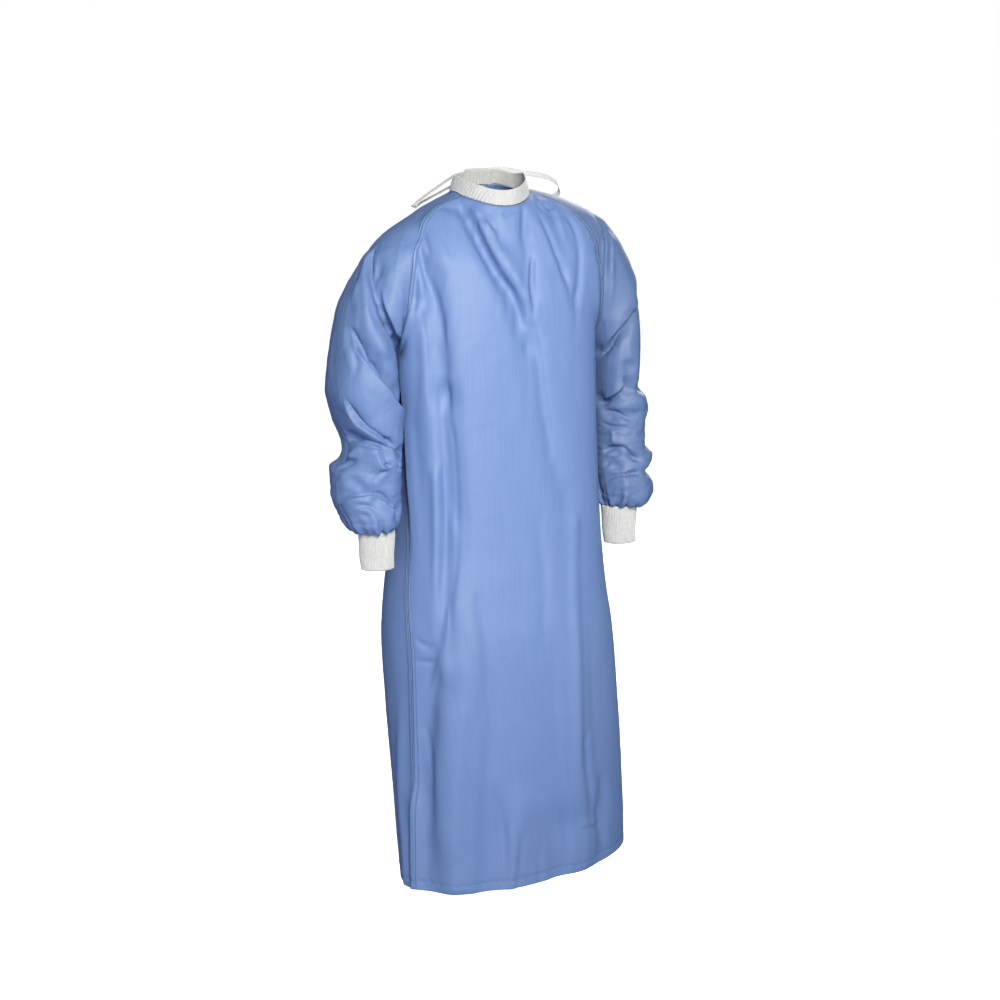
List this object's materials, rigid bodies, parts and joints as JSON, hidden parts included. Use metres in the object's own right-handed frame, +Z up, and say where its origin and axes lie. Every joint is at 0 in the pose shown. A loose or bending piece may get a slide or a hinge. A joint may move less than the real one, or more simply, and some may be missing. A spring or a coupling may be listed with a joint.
{
  "type": "surgical gown",
  "caption": "Long surgical gown in its worn, hollow form: raglan sleeves, knit cuffs, stand-up neckband and a lapped back tied at the nape and the waist.",
  "frame": {"origin": "on the neck's axis at the height of the shoulder seams' neck ends, where the wearer's neck and shoulders carry the gown", "axes": "+Z up, the front faces -Y, the wearer's left is +X"},
  "size_m": [0.5656, 0.3123, 1.193],
  "materials": {
    "gown_cloth": "plain-woven polyester, soft sheen",
    "neckband_knit": "white cotton band",
    "cuff_knit": "white rib knit",
    "tie_tape": "white twill tape"
  },
  "bodies": {
    "root": {"front": "gown_cloth", "back_right": "gown_cloth", "back_left": "gown_cloth", "sleeve_right": "gown_cloth", "sleeve_left": "gown_cloth", "cuff_right": "cuff_knit", "cuff_left": "cuff_knit", "neckband": "neckband_knit", "neck_tie_knot": "tie_tape", "neck_tie_run_left": "tie_tape", "neck_tie_run_right": "tie_tape", "neck_tie_loop_left": "tie_tape", "neck_tie_loop_right": "tie_tape", "neck_tie_tail_left": "tie_tape", "neck_tie_tail_right": "tie_tape", "waist_tie_knot": "tie_tape", "waist_tie_run_left": "tie_tape", "waist_tie_run_right": "tie_tape", "waist_tie_loop_left": "tie_tape", "waist_tie_loop_right": "tie_tape", "waist_tie_tail_left": "tie_tape", "waist_tie_tail_right": "tie_tape"}
  },
  "joints": []
}
